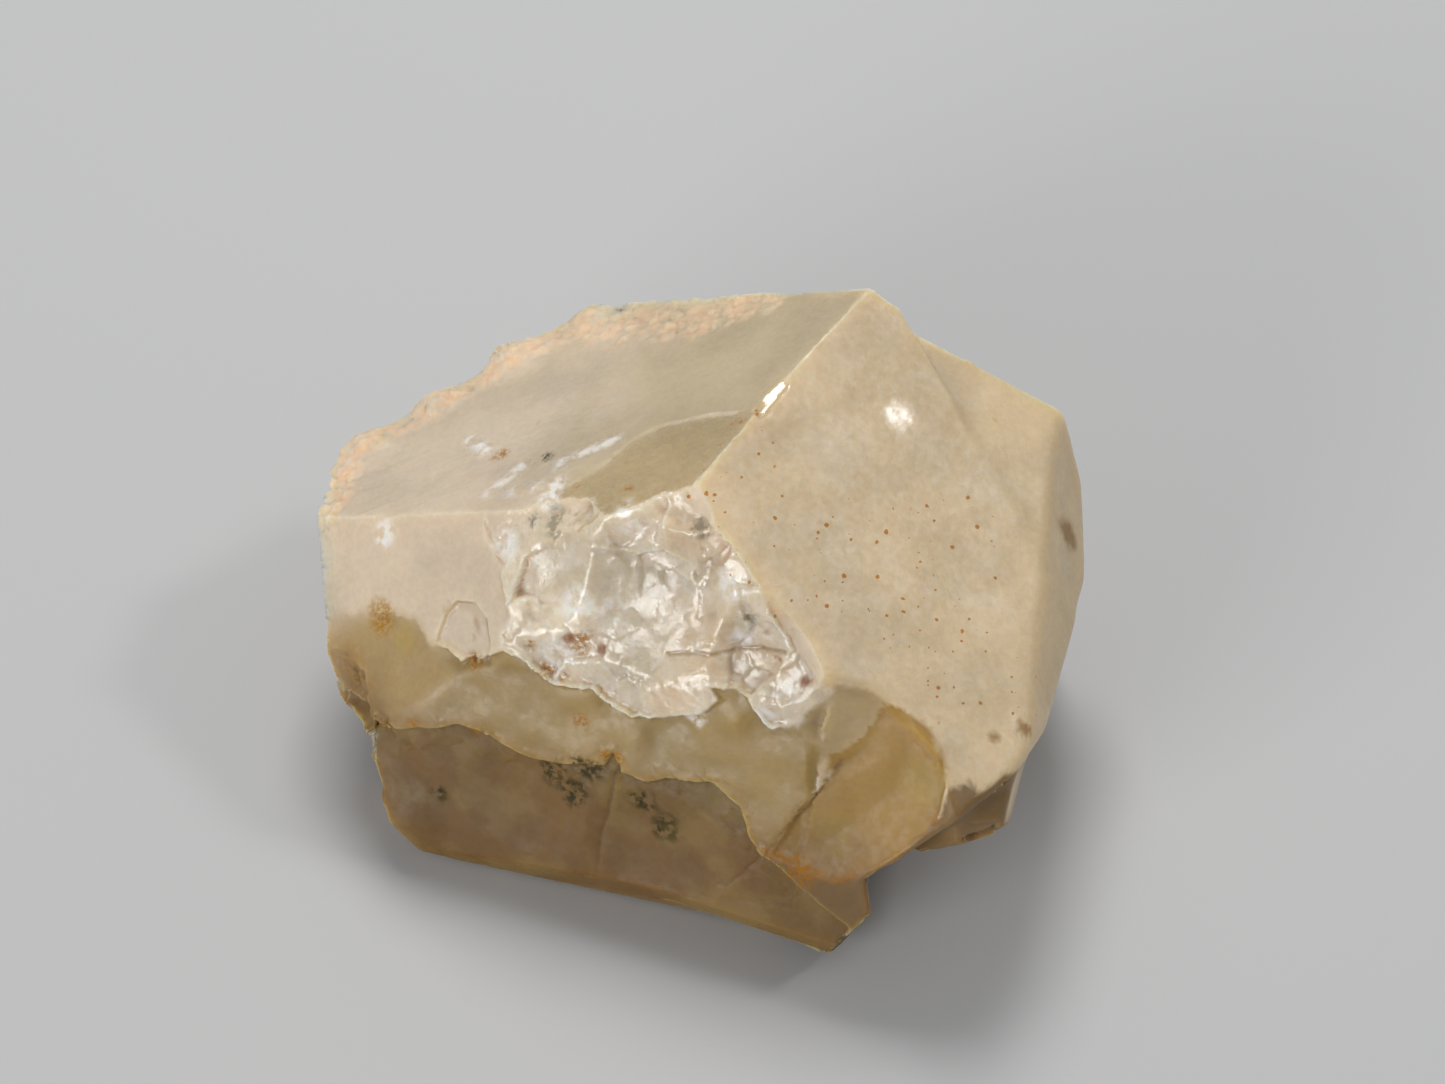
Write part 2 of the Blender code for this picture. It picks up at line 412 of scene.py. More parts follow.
def read_points(mesh):
    """Vertex positions in millimetres from the heart."""
    data = np.zeros(len(mesh.vertices) * 3)
    mesh.vertices.foreach_get("co", data)
    return data.reshape(-1, 3) / MM - HEART


def write_points(mesh, points):
    """Writes positions back, in metres."""
    mesh.vertices.foreach_set("co", ((points + HEART) * MM).ravel())
    mesh.update()


def read_normals(mesh):
    """Vertex normals."""
    data = np.zeros(len(mesh.vertices) * 3)
    mesh.vertex_normals.foreach_get("vector", data)
    return data.reshape(-1, 3)


def applied(piece, name):
    """The piece's mesh with its modifiers applied."""
    graph = bpy.context.evaluated_depsgraph_get()
    mesh = bpy.data.meshes.new_from_object(piece.evaluated_get(graph))
    mesh.name = name
    return mesh


def replace_mesh(piece, mesh):
    """Gives the piece a new mesh and drops its modifiers."""
    old = piece.data
    piece.modifiers.clear()
    piece.data = mesh
    bpy.data.meshes.remove(old)


def fine_copy(node, name):
    """The CAD solid in small, even cells."""
    mesh = node.data.copy()
    shape = bmesh.new()
    shape.from_mesh(mesh)
    bmesh.ops.remove_doubles(shape, verts=shape.verts, dist=1e-7)
    shape.to_mesh(mesh)
    shape.free()
    mesh.materials.clear()
    piece = bpy.data.objects.new(name, mesh)
    bpy.context.scene.collection.objects.link(piece)
    remesh = piece.modifiers.new("fine_cells", "REMESH")
    remesh.mode = "VOXEL"
    remesh.voxel_size = FINE_CELL * MM * 1.0
    replace_mesh(piece, applied(piece, name))
    return piece


def pair_sums(pairs, forward, backward, count):
    """Sums at the vertices: forward values go to each edge's first vertex, backward ones to its second."""
    return np.bincount(pairs[:, 0], forward, count) + np.bincount(pairs[:, 1], backward, count)


def soften(points, pairs, weight, rounds):
    """Rounds the shape where weight is high, as wear does."""
    count = np.bincount(pairs.ravel(), minlength=len(points)).astype(float)[:, None]
    for _ in range(rounds):
        total = np.zeros_like(points)
        for axis in range(3):
            place = points[:, axis]
            total[:, axis] = pair_sums(pairs, place[pairs[:, 1]], place[pairs[:, 0]], len(points))
        points = points + weight[:, None] * SOFTEN_STEP * (total / count - points)
    return points


def read_edges(mesh):
    """Pairs of joined vertices."""
    data = np.zeros(len(mesh.edges) * 2, dtype=np.int64)
    mesh.edges.foreach_get("vertices", data)
    return data.reshape(-1, 2)


def near_spots(flat, spots):
    """1 in the middle of each spot, fading to 0 at its reach."""
    result = np.zeros(len(flat))
    for *middle, reach in spots:
        gap = np.linalg.norm(flat - middle, axis=1) / reach
        result = np.maximum(result, near(gap, 0.45, 1.0))
    return result


def plate_heights(flat):
    """Heights of the glassy patch's plates: each point belongs to the plate whose middle is nearest."""
    nearest = np.full(len(flat), FAR)
    height = np.zeros(len(flat))
    for along, up, slope_along, slope_up, lift in PLATES:
        offset = flat - (along, up)
        gap = np.linalg.norm(offset, axis=1)
        own = lift + offset @ (slope_along, slope_up)
        height = np.where(gap < nearest, own, height)
        nearest = np.minimum(nearest, gap)
    return height


def front_fields(points, normals):
    """Where each point lies on the chipped front: the fields that the carving and the colours share."""
    flat = BAND.flat(points)
    ragged = jagged(flat, points, amount=0.14, seed=11)
    loose = jagged(flat, points, amount=0.30, seed=13)
    chippy = jagged(ragged, points, amount=0.17, seed=15, size=0.45)
    from_lens = np.linalg.norm((flat - LENS) * LENS_SQUASH, axis=1) / LENS_REACH
    return SimpleNamespace(
        flat=flat,
        loose=loose,
        facing=smooth(0.35, 0.6, normals @ BAND.normal) * smooth(-2.6, -1.6, BAND.height(points)),
        patch=inset(chippy, PATCH_LIP + PATCH_TOP),
        hem=below(chippy, SHOULDER_HEM + PATCH_LIP[1:]),
        step=below(ragged, WALL_STEP),
        arch=inset(jagged(flat, points, amount=0.05, seed=17), ARCH),
        lens=near(from_lens, 0.55, 1.0),
        upright_crack=line_distance(ragged, UPRIGHT_CRACK),
        scar_crack=line_distance(jagged(flat, points, amount=0.12, seed=19), SCAR_CRACK),
        amber_crack=line_distance(ragged, AMBER_CRACK),
        chipped=near_spots(loose, CHIPPED),
    )


def step_heights(points, field):
    """The band lies a step below the shoulder and the glassy patch, the wall a step below the band."""
    flat = field.flat
    uneven = 1.0 + 0.5 * value_noise(points, size=0.9, seed=29) - 0.35 * smooth(1.2, 2.2, flat[:, 0])
    uneven *= 1.0 - 0.6 * smooth(-7.0, -9.0, flat[:, 0])
    under_hem = np.exp(-np.clip(field.hem, 0, None) / 2.6)
    under_step = np.exp(-np.clip(field.step, 0, None) / 2.2)
    height = -HEM_STEP * uneven * smooth(-0.02, 0.14, field.hem) * under_hem
    return height - WALL_STEP_DEPTH * smooth(-0.02, 0.12, field.step) * under_step


def patch_heights(points, field, in_patch):
    """The glassy patch: tilted plates, broken further into chips, with a smooth lens at its foot."""
    flat = field.flat
    calm = 0.75 * near_spots(field.loose, CALM_SPOTS)
    busy = in_patch * (1.0 - 0.9 * field.lens) * (1.0 - calm)
    height = -PATCH_SINK * in_patch
    height += busy * 0.65 * plate_heights(jagged(flat, points, amount=0.25, seed=23))
    height += chips(busy, points, size=1.5, seed=31, tilt=0.10)
    height += chips(busy, points, size=0.55, seed=37, tilt=0.04)
    height += chips(busy * field.chipped, points, size=0.42, seed=43, tilt=0.20)
    height += LENS_RISE * field.lens * in_patch
    ripple = np.linalg.norm(flat - RIPPLE_MIDDLE, axis=1)
    height += RIPPLE_HEIGHT * in_patch * field.lens * np.sin(ripple * 16.0)
    return height + THIN_RIDGE_HEIGHT * in_patch * near(line_distance(flat, THIN_RIDGE), 0.02, 0.12)


def crack_heights(field):
    """The arched hollow in the shoulder and three cracks; the upright one fades downwards."""
    upright_fade = 0.3 + 0.7 * smooth(-9.5, -4.5, field.flat[:, 1])
    height = -ARCH_DEPTH * smooth(0.0, 0.16, field.arch)
    height -= UPRIGHT_CRACK_DEPTH * near(field.upright_crack, 0.02, 0.10) * upright_fade
    height -= FINE_CRACK_DEPTH * near(field.scar_crack, 0.02, 0.09)
    return height - FINE_CRACK_DEPTH * near(field.amber_crack, 0.03, 0.10)


def shell_heights(points, field, in_patch):
    """Shallow shells over the band and the wall, with a ragged, chipped strip under the wall's step."""
    plain_front = (1.0 - in_patch) * smooth(-0.2, 0.4, field.hem) * field.facing
    swells = 0.05 * value_noise(points, size=2.6, seed=61) + 0.02 * value_noise(points, size=0.9, seed=62)
    ledge = plain_front * near(np.abs(field.step - 0.3), 0.2, 1.3)
    return plain_front * swells + chips(ledge, points, size=0.8, seed=67, tilt=0.08)


def carve_front(points, normals):
    """Steps, chips and cracks of the front, as heights along the band's normal."""
    field = front_fields(points, normals)
    in_patch = smooth(0.0, 0.12, field.patch) * field.facing
    height = step_heights(points, field) + patch_heights(points, field, in_patch)
    height += crack_heights(field) + shell_heights(points, field, in_patch)
    return height * field.facing


def near_front(points):
    """1 on the front half of the crystal, 0 farther back."""
    return smooth(-4.5, -4.0, BAND.height(points))


def flattened(points, normals, outline, face, hollow, rim):
    """Moves that turn the area inside a front outline into one slightly hollow face, with a soft rim."""
    gap = inset(jagged(BAND.flat(points), points, amount=0.10, seed=131), outline)
    seen = smooth(-0.05, 0.1, normals @ BAND.normal) * near_front(points)
    target = -hollow * smooth(0.0, 2.2, gap)
    move = np.clip(target - face.height(points), -0.6, 2.6) * smooth(-0.02, rim, gap) * seen
    return move[:, None] * face.normal


def bevel(points):
    """Cuts a small flat bevel on the ridge where the three roofs meet."""
    normal = np.array(BEVEL_NORMAL)
    gap = points - np.array(BEVEL_MIDDLE)
    reach = smooth(BEVEL_LENGTH, BEVEL_LENGTH - 0.06, np.abs(gap @ np.array(RIDGE_RUN)))
    rise = np.clip(gap @ normal, 0.0, 0.3)
    close = np.linalg.norm(gap, axis=1) < BEVEL_REACH
    return -(rise * reach * close)[:, None] * normal


def bevel_field(points):
    """1 on that bevel."""
    gap = points - np.array(BEVEL_MIDDLE)
    level = near(np.abs(gap @ np.array(BEVEL_NORMAL)), 0.03, 0.06)
    return level * (np.linalg.norm(gap, axis=1) < BEVEL_LENGTH)


def growth_field(points):
    """Distance inside the left roof's lower growth layer."""
    flat = jagged(LEFT_ROOF.flat(points), points, amount=0.05, seed=73)
    return inset(flat, GROWTH_EDGE + GROWTH_REST)


def growth_lines(flat, fineness, stretch, seed):
    """Noise that changes quickly across the growth lines and slowly along them."""
    across = flat @ np.array(GROWTH_ACROSS)
    drawn_out = np.stack([across * fineness, flat[:, 1] * stretch, np.zeros(len(flat))], axis=1)
    return value_noise(drawn_out, size=1.0, seed=seed)


def carve_left_roof(points, normals):
    """Growth layers, fine growth lines and raised streaks on the left roof."""
    flat = LEFT_ROOF.flat(points)
    layer = growth_field(points)
    rough_end = smooth(-5.0, -9.0, flat[:, 1])
    near_ridge = smooth(-0.5, 2.5, flat[:, 1])
    lines = growth_lines(flat, fineness=3.0, stretch=0.25, seed=71)
    lines += 0.6 * growth_lines(flat, fineness=9.0, stretch=0.35, seed=72)
    height = 0.012 * lines * (1.0 + rough_end) + 0.04 * value_noise(points, size=3.5, seed=74)
    height += 0.035 * near(np.abs(layer), 0.02, 0.10) * near_ridge - 0.05 * smooth(0.0, 0.12, layer)
    streaks = near(nearest_line(flat, ROOF_STREAKS), 0.03, 0.28)
    height += 0.06 * streaks * (1.0 + value_noise(points, size=0.5, seed=75))
    height += 0.06 * rough_end * rough_noise(points, size=1.6, seed=76)
    return height * LEFT_ROOF.on(points, normals, thickness=0.5)


def carve_right_roof(points, normals):
    """The right roof is gently lumpy."""
    on = RIGHT_ROOF.on(points, normals, thickness=0.6)
    lumps = 0.08 * value_noise(points, size=2.6, seed=81) + 0.035 * value_noise(points, size=1.1, seed=82)
    return lumps * on


def crust_field(points):
    """1 on the grainy crust along the left roof's outer rim."""
    flat = jagged(LEFT_ROOF.flat(points), points, amount=0.35, seed=91)
    rim = line_distance(flat, CRUST_RIM)
    width = 1.1 + 1.5 * smooth(-7.5, -5.5, flat[:, 1]) * smooth(1.5, -2.0, flat[:, 1])
    return near(rim / width, 0.5, 1.0) * smooth(-1.2, -0.2, LEFT_ROOF.height(points))


def root_field(normals):
    """1 on the broken root end, the back and the underside, which no face above looks towards."""
    facing = np.max([normals @ face.normal for face in GROWN_FACES], axis=0)
    return near(facing, 0.55, 0.8)


def broken_heights(points):
    """Irregular shell-shaped fracture with a few chipped places, and lumps at the root end."""
    shake = [rough_noise(points, size=2.2, seed=102 + axis, octaves=3) for axis in range(3)]
    bent = points + 0.8 * np.stack(shake, axis=1)
    wide, _ = cells(bent + SHELL_SHIFT, size=4.2, seed=101)
    height = 0.50 * wide * wide - 0.30 + shards(bent, size=3.4, seed=107, tilt=0.17)
    chipped = smooth(0.0, 0.5, value_noise(points, size=3.2, seed=111))
    height += chipped * shards(bent, size=0.9, seed=112, tilt=0.09)
    height += 0.08 * rough_noise(points, size=1.4, seed=109)
    lumps = 0.34 * value_noise(points, size=1.5, seed=108) + 0.12 * value_noise(points, size=0.6, seed=110)
    lumpy = smooth(-3.0, -7.0, points[:, 0] - 0.3 * points[:, 1])
    return np.minimum(height, 0.04) + lumpy * lumps


def crust_heights(points):
    """Grains of the crust."""
    grain, tag = cells(points, size=0.42, seed=113)
    return 0.16 * (1.0 - grain) + 0.10 * tag - 0.06


def bulges(points, places):
    """Heights of rounded swellings or hollows around (x, y, z, reach, height) places."""
    height = np.zeros(len(points))
    for *middle, reach, rise in places:
        height += rise * near(np.linalg.norm(points - middle, axis=1) / reach, 0.0, 1.0)
    return height


def worn(points, pairs):
    """Wear rounds the right-hand side, the lower left tip, the spur and a crease, and the rest a little."""
    right_side = smooth(6.0, 10.5, points[:, 0] - 0.25 * points[:, 1]) * smooth(-6.5, -4.0, points[:, 2])
    tip = near(np.linalg.norm(points - WORN_CORNER, axis=1), 0.5, 1.6)
    crease = near(line_distance(BAND.flat(points), CREASE), 0.6, 1.5)
    crease *= smooth(-2.6, -1.6, BAND.height(points))
    weight = tip + right_side + crease + near_spots(points, SPUR)
    points = soften(points, pairs, np.minimum(weight, 1.0), rounds=45)
    return soften(points, pairs, np.full(len(points), 0.5), rounds=1)


def relief(points, normals):
    """Growth, fracture, crust, fine grain and swellings, as heights along each point's own normal."""
    off_bevel = smooth(0.8, 1.6, np.linalg.norm(points - BEVEL_MIDDLE, axis=1))
    height = (carve_left_roof(points, normals) + carve_right_roof(points, normals)) * off_bevel
    height += only(root_field(normals), broken_heights, points)
    height += only(crust_field(points), crust_heights, points)
    height += chips(near_spots(points, SOILED_END), points, size=0.6, seed=117, tilt=0.25)
    grain = 1.0 - 0.6 * LEFT_ROOF.on(points, normals, thickness=0.6)
    grain *= 1.0 - 0.95 * bevel_field(points)
    height += FINE_GRAIN * grain * rough_noise(points, size=0.35, seed=121, octaves=3)
    return height + bulges(points, SWELLINGS + RIM_LUMPS)


def carve(piece):
    """Carves every kind of detail into the fine mesh, and keeps it inside the solid's own box."""
    mesh = piece.data
    points = read_points(mesh)
    low = points.min(axis=0)
    high = points.max(axis=0)
    pairs = read_edges(mesh)
    points = worn(points + bevel(points), pairs)
    write_points(mesh, points)
    normals = read_normals(mesh)

    moved = points + carve_front(points, normals)[:, None] * BAND.normal
    moved += flattened(points, normals, SCAR, SCAR_FACE, SCAR_HOLLOW, SCAR_RIM)
    moved += flattened(points, normals, TOP_CHIP, CHIP_FACE, CHIP_HOLLOW, CHIP_RIM)
    moved += relief(points, normals)[:, None] * normals
    moved += bevel(moved)
    chip_rim = near(np.abs(inset(BAND.flat(moved), TOP_CHIP)), 0.1, 0.6)
    moved = soften(moved, pairs, chip_rim * smooth(-3.0, -2.0, BAND.height(moved)), rounds=30)
    write_points(mesh, np.clip(moved, low, high))


def thin_out(piece, name):
    """Fewer faces where the surface is flat."""
    triangles = 2 * len(piece.data.polygons)
    if triangles > FACE_LIMIT:
        thin = piece.modifiers.new("thin_out", "DECIMATE")
        thin.ratio = FACE_LIMIT / triangles
        replace_mesh(piece, applied(piece, name))


# ---- colour masks


def edge_fields(points, normals, pairs):
    """1 on sharp outward edges, and 1 in sharp hollows."""
    number = len(points)
    count = np.maximum(np.bincount(pairs.ravel(), minlength=number), 1).astype(float)
    runs = points[pairs[:, 1]] - points[pairs[:, 0]]
    length = np.linalg.norm(runs, axis=1)
    first_rise = np.sum(runs * normals[pairs[:, 0]], axis=1)
    second_rise = np.sum(runs * normals[pairs[:, 1]], axis=1)
    rise = pair_sums(pairs, first_rise, -second_rise, number)
    bend = rise / np.maximum(pair_sums(pairs, length, length, number), TINY)
    for _ in range(2):
        around = pair_sums(pairs, bend[pairs[:, 1]], bend[pairs[:, 0]], number)
        bend = 0.5 * bend + 0.5 * around / count
    return smooth(0.05, 0.16, -bend), smooth(0.05, 0.16, bend)


def paint_fields(points, normals):
    """What several masks share: the front's fields, and where each point lies on the roofs."""
    at = front_fields(points, normals)
    at.noise = rough_noise(points, size=1.2, seed=201)
    at.seen = smooth(-0.1, 0.15, normals @ BAND.normal)
    at.in_patch = smooth(-0.05, 0.15, at.patch) * at.facing
    hem_softness = 1.0 + 3.0 * smooth(-7.0, -9.0, at.flat[:, 0])
    at.under_hem = smooth(-0.08, 0.12, at.hem / hem_softness) * at.facing
    # The patch's lip, which gets a painted highlight along it and an amber stain in places.
    at.lip = near(np.abs(at.patch), 0.0, 0.30) * at.facing * smooth(1.0, -0.6, at.flat[:, 1])
    at.left_flat = LEFT_ROOF.flat(points)
    at.on_left = smooth(0.86, 0.95, normals @ LEFT_ROOF.normal)
    at.on_left *= smooth(-0.8, -0.3, LEFT_ROOF.height(points))
    # The raised streaks, lightened with a painted highlight.
    at.streaks = near(nearest_line(at.left_flat, ROOF_STREAKS), 0.05, 0.45) * at.on_left
    at.right_flat = RIGHT_ROOF.flat(points)
    at.on_right = smooth(-0.8, -0.3, RIGHT_ROOF.height(points))
    at.on_bevel = bevel_field(points)
    at.on_root = root_field(normals)
    return at


def region_masks(points, normals, at):
    """The roofs, the shoulder, the broken places, the crust and the regions of the front."""
    steep = smooth(-0.6, -0.3, normals @ BAND.normal) * near_front(points)
    ragged = jagged(at.flat, points, amount=0.10, seed=11)
    chip = smooth(-0.08, 0.02, inset(ragged, TOP_CHIP)) * steep
    scar = smooth(-0.08, 0.02, inset(ragged, SCAR) + 0.7 * chip) * steep
    band = at.under_hem * (1.0 - at.in_patch)
    in_arch = smooth(-0.05, 0.15, at.arch) * at.facing
    on_shoulder = smooth(0.80, 0.93, normals @ SHOULDER.normal)
    return {
        "clear": at.on_left,
        "haze": at.on_left * smooth(-1.0, -6.0, at.left_flat[:, 1] + 2.0 * at.noise),
        "growth": smooth(-0.1, 0.5, growth_field(points)) * at.on_left,
        "crust": crust_field(points),
        "shoulder": on_shoulder * (1.0 - at.under_hem),
        "broken": at.on_root,
        "band": band,
        "pale_band": band * smooth(-6.5, -9.5, at.flat[:, 0] + at.noise),
        "wall": smooth(-0.08, 0.10, at.step) * at.facing,
        "low": smooth(-1.2, -4.5, points[:, 2] + 0.5 * at.noise),
        "scar": scar,
        "chip": chip * (1.0 - scar),
        "foot": smooth(-0.05, 0.10, below(ragged, FOOT_TOP)) * at.seen,
        "glassy": np.maximum(at.in_patch, 0.3 * in_arch),
    }


def tint_masks(at):
    """Lighter, clearer and yellower spots, white veils with painted highlights on the patch's lip, the left
    roof's streaks and a few spots, and the right roof's specks.
    """
    loose = at.loose
    white_and_highlight = near_spots(loose, WHITE_AND_HIGHLIGHT_SPOTS) * at.seen
    return {
        "beige": near_spots(loose, BEIGE_SPOTS) * at.in_patch,
        "clear_glass": near_spots(loose, CLEAR_SPOTS) * at.in_patch,
        # White veils and clouds, with painted highlights along the patch's lip, on the roof's streaks and at
        # a few spots.
        "white_and_highlight": white_and_highlight + 0.35 * at.lip + at.streaks,
        "yellow": near_spots(loose, YELLOW_SPOTS) * at.seen,
        "specks": near_spots(at.right_flat, SPECKLED) * at.on_right,
    }


def stain_and_shadow_masks(points, normals, at):
    """Dark, amber and red stains, and soil; the dark spots below the wall's step also carry painted shadow.
    """
    loose = at.loose
    noise = at.noise
    dark_front_and_step_shadow = near_spots(loose, DARK_SPOTS_AND_STEP_SHADOW) * at.facing * (1.0 - 0.4 * at.in_patch)
    dark_roof = near_spots(at.left_flat, ROOF_DARK) * at.on_left
    amber_front = near_spots(loose, AMBER_SPOTS) * at.facing
    amber_roof = near_spots(at.left_flat, ROOF_AMBER) * at.on_left
    amber_lip = at.lip * smooth(0.25, 0.6, noise) * smooth(2.0, -1.0, at.flat[:, 0])
    amber_scar = near(line_distance(loose, SCAR_LIP), 0.05, 0.30) * at.seen * smooth(-0.3, 0.3, noise)
    soiled_flat = jagged(at.right_flat, points, amount=0.45, seed=21, size=0.7)
    soil_right = near_spots(soiled_flat, SOILED) * smooth(0.0, 0.3, normals[:, 2])
    soil_end = near_spots(points + 0.3 * noise[:, None], SOILED_END)
    return {
        # dark: dark stains, and painted shadow under the wall's step.
        "dark": np.max([dark_front_and_step_shadow, dark_roof, near_spots(points, DARK_END)], axis=0),
        "amber": np.max([amber_front, amber_roof, amber_lip, 0.7 * amber_scar], axis=0),
        "red": near_spots(loose, RED_SPOTS) * at.facing,
        "soil": np.maximum(soil_right, 0.7 * soil_end),
    }


def crack_masks(at):
    """Coloured cracks and hair lines."""
    thin = near(np.minimum(at.amber_crack, nearest_line(at.flat, DARK_LINES) + 0.02), 0.03, 0.10)
    hair = near(line_distance(at.left_flat, ROOF_HAIR), 0.03, 0.07)
    upright = near(at.upright_crack, 0.03, 0.11) * smooth(-9.0, -4.5, at.flat[:, 1])
    return {
        "line": np.maximum(thin * at.facing, hair * at.on_left),
        "crack": np.maximum(near(at.scar_crack, 0.03, 0.14), 0.6 * upright) * at.facing,
    }


def wear_and_edge_highlight_masks(points, normals, pairs, at):
    """Polished and dull places, a painted highlight on sharp edges, and darker hollows."""
    sharp, hollow = edge_fields(points, normals, pairs)
    glint = 0.75 * near_spots(at.right_flat, POLISHED)
    # The pale edge colour is a painted highlight on sharp outward edges, strongest in the glassy patch.
    edge = (0.10 + 0.20 * at.in_patch) * (1.0 - 0.7 * at.on_root)
    off_glass = smooth(0.5, 0.0, at.in_patch + at.on_bevel)
    return {
        "polish": np.max([glint, at.on_bevel, at.streaks], axis=0),
        "edge": sharp * (1.0 - at.on_bevel) * edge,
        "dull": sharp * off_glass * smooth(-0.7, 0.1, at.noise),
        "crevice": hollow * (1.0 - 0.75 * at.facing),
    }


def paint(piece):
    """Writes the masks that the material reads, one number per vertex."""
    mesh = piece.data
    points = read_points(mesh)
    normals = read_normals(mesh)
    at = paint_fields(points, normals)
    masks = region_masks(points, normals, at)
    masks.update(tint_masks(at))
    masks.update(stain_and_shadow_masks(points, normals, at))
    masks.update(crack_masks(at))
    masks.update(wear_and_edge_highlight_masks(points, normals, read_edges(mesh), at))
    for name, values in masks.items():
        layer = mesh.attributes.new(name, "FLOAT", "POINT")
        layer.data.foreach_set("value", np.clip(values, 0.0, 1.0).astype(np.float32))


# ---- material


class Nodes:
    """A short way to write a node tree."""

    def __init__(self, tree):
        self.tree = tree

    def add(self, kind, **settings):
        """A new node with these settings."""
        node = self.tree.nodes.new(kind)
        for key, value in settings.items():
            setattr(node, key, value)
        return node

    def link(self, source, target):
        """Joins an output socket to an input socket."""
        self.tree.links.new(source, target)

    def mask(self, name):
        """One of the painted masks."""
        return self.add("ShaderNodeAttribute", attribute_name=name).outputs["Fac"]

    def place(self):
        """Object coordinates, in metres."""
        return self.add("ShaderNodeTexCoord").outputs["Object"]

    def noise(self, size, detail=4.0, roughness=0.55):
        """Noise with bumps about size millimetres across."""
        node = self.add("ShaderNodeTexNoise")
        node.inputs["Scale"].default_value = 1.0 / (size * MM)
        node.inputs["Detail"].default_value = detail
        node.inputs["Roughness"].default_value = roughness
        self.link(self.place(), node.inputs["Vector"])
        return node.outputs["Fac"]

    def warped(self, size, amount):
        """Object coordinates, in metres, shaken by up to amount millimetres over size millimetres."""
        shake = self.add("ShaderNodeTexNoise")
        shake.inputs["Scale"].default_value = 1.0 / (size * MM)
        self.link(self.place(), shake.inputs["Vector"])
        add = self.add("ShaderNodeVectorMath", operation="MULTIPLY_ADD")
        self.link(shake.outputs["Color"], add.inputs[0])
        add.inputs[1].default_value = (amount * MM, amount * MM, amount * MM)
        self.link(self.place(), add.inputs[2])
        return add.outputs["Vector"]

    def ramp(self, source, low, high):
        """0 below low, 1 above high."""
        node = self.add("ShaderNodeMapRange", interpolation_type="SMOOTHSTEP")
        node.inputs["From Min"].default_value = low
        node.inputs["From Max"].default_value = high
        self.link(source, node.inputs["Value"])
        return node.outputs["Result"]

    def maths(self, operation, first, second):
        """One arithmetic step; either side may be a number."""
        node = self.add("ShaderNodeMath", operation=operation)
        for socket, value in zip(node.inputs, (first, second)):
            if isinstance(value, (int, float)):
                socket.default_value = value
            else:
                self.link(value, socket)
        return node.outputs[0]

    def times(self, first, second):
        """Their product."""
        return self.maths("MULTIPLY", first, second)

    def plus(self, first, second):
        """Their sum."""
        return self.maths("ADD", first, second)

    def minus(self, first, second):
        """The first less the second."""
        return self.maths("SUBTRACT", first, second)

    def blend(self, factor, first, second, mode="MIX"):
        """Mixes two colours; each is a socket or a colour."""
        node = self.add("ShaderNodeMix", data_type="RGBA", blend_type=mode)
        if isinstance(factor, (int, float)):
            node.inputs["Factor"].default_value = factor
        else:
            self.link(factor, node.inputs["Factor"])
        for socket, value in ((node.inputs["A"], first), (node.inputs["B"], second)):
            if isinstance(value, tuple):
                socket.default_value = (*value, 1.0)
            else:
                self.link(value, socket)
        return node.outputs["Result"]


MILK = (0.70, 0.54, 0.32)
PALE = (0.76, 0.63, 0.44)
WALL_BLOTCH = (0.32, 0.22, 0.06)
SPECK = (0.50, 0.20, 0.03)
WINDOW = (0.50, 0.39, 0.24)
VEIL = (0.88, 0.84, 0.78)

# Mask, its colour, how strongly it covers, and, where noise breaks it into patches, their size.
LAYERS = (
    ("clear", (0.57, 0.47, 0.31), 0.90),
    ("haze", (0.72, 0.60, 0.46), 0.85),
    ("growth", (0.50, 0.38, 0.20), 0.75),
    ("shoulder", (0.74, 0.61, 0.46), 0.90),
    ("broken", (0.56, 0.43, 0.27), 0.70),
    ("band", (0.385, 0.25, 0.06), 0.94),
    ("pale_band", (0.50, 0.36, 0.18), 0.60),
    ("wall", (0.19, 0.108, 0.01), 0.94),
    ("scar", (0.40, 0.225, 0.025), 0.94),
    ("chip", (0.50, 0.36, 0.17), 0.90),
    ("yellow", (0.50, 0.34, 0.07), 0.45),
    ("low", (0.19, 0.085, 0.006), 0.75),
    ("foot", (0.19, 0.10, 0.012), 0.92),
    ("glassy", (0.80, 0.69, 0.53), 0.94),
    ("beige", (0.74, 0.57, 0.38), 0.75),
    ("clear_glass", (0.62, 0.53, 0.38), 0.60),
    # white: white veils and clouds, partly painted highlights on the patch's lip, the roof's streaks and a
    # few spots.
    ("white_and_highlight", (0.94, 0.90, 0.84), 0.85, 0.45),
    # edge: a painted highlight on sharp outward edges.
    ("edge", (0.92, 0.86, 0.76), 0.40, 0.30),
    ("crevice", (0.30, 0.20, 0.10), 0.30, 0.40),
    # dark: dark stains and veins, with painted shadow under the wall's step.
    ("dark", (0.055, 0.045, 0.018), 1.0, 0.28),
    ("crust", (0.82, 0.57, 0.36), 0.90, 0.60),
    ("soil", (0.30, 0.155, 0.04), 0.80),
    ("amber", (0.42, 0.17, 0.01), 0.90, 0.16),
    ("red", (0.26, 0.07, 0.012), 0.85),
    ("line", (0.42, 0.26, 0.10), 0.60),
    ("crack", (0.22, 0.10, 0.03), 0.75, 0.25),
)

# Masks that cover the surface with an opaque stain; dark also holds the painted shadow under the wall's step.
STAINS_AND_SHADOW = ("amber", "red", "dark", "soil")

# The plain surface's roughness, and how each mask changes it.
BASE_ROUGHNESS = 0.38
LEAST_ROUGHNESS = 0.08
ROUGHNESS_CHANGES = (
    ("glassy", -0.23), ("clear", -0.10), ("growth", -0.08), ("scar", 0.14), ("wall", 0.16), ("foot", 0.10),
    ("band", 0.02), ("polish", -0.34), ("crust", 0.35), ("broken", -0.06), ("dull", 0.45),
)

# Phenakite's refractive index, and how far light spreads inside it.
REFRACTIVE_INDEX = 1.66
GLOW_RADIUS = (1.0, 0.75, 0.45)
GLOW_SCALE = 1.5

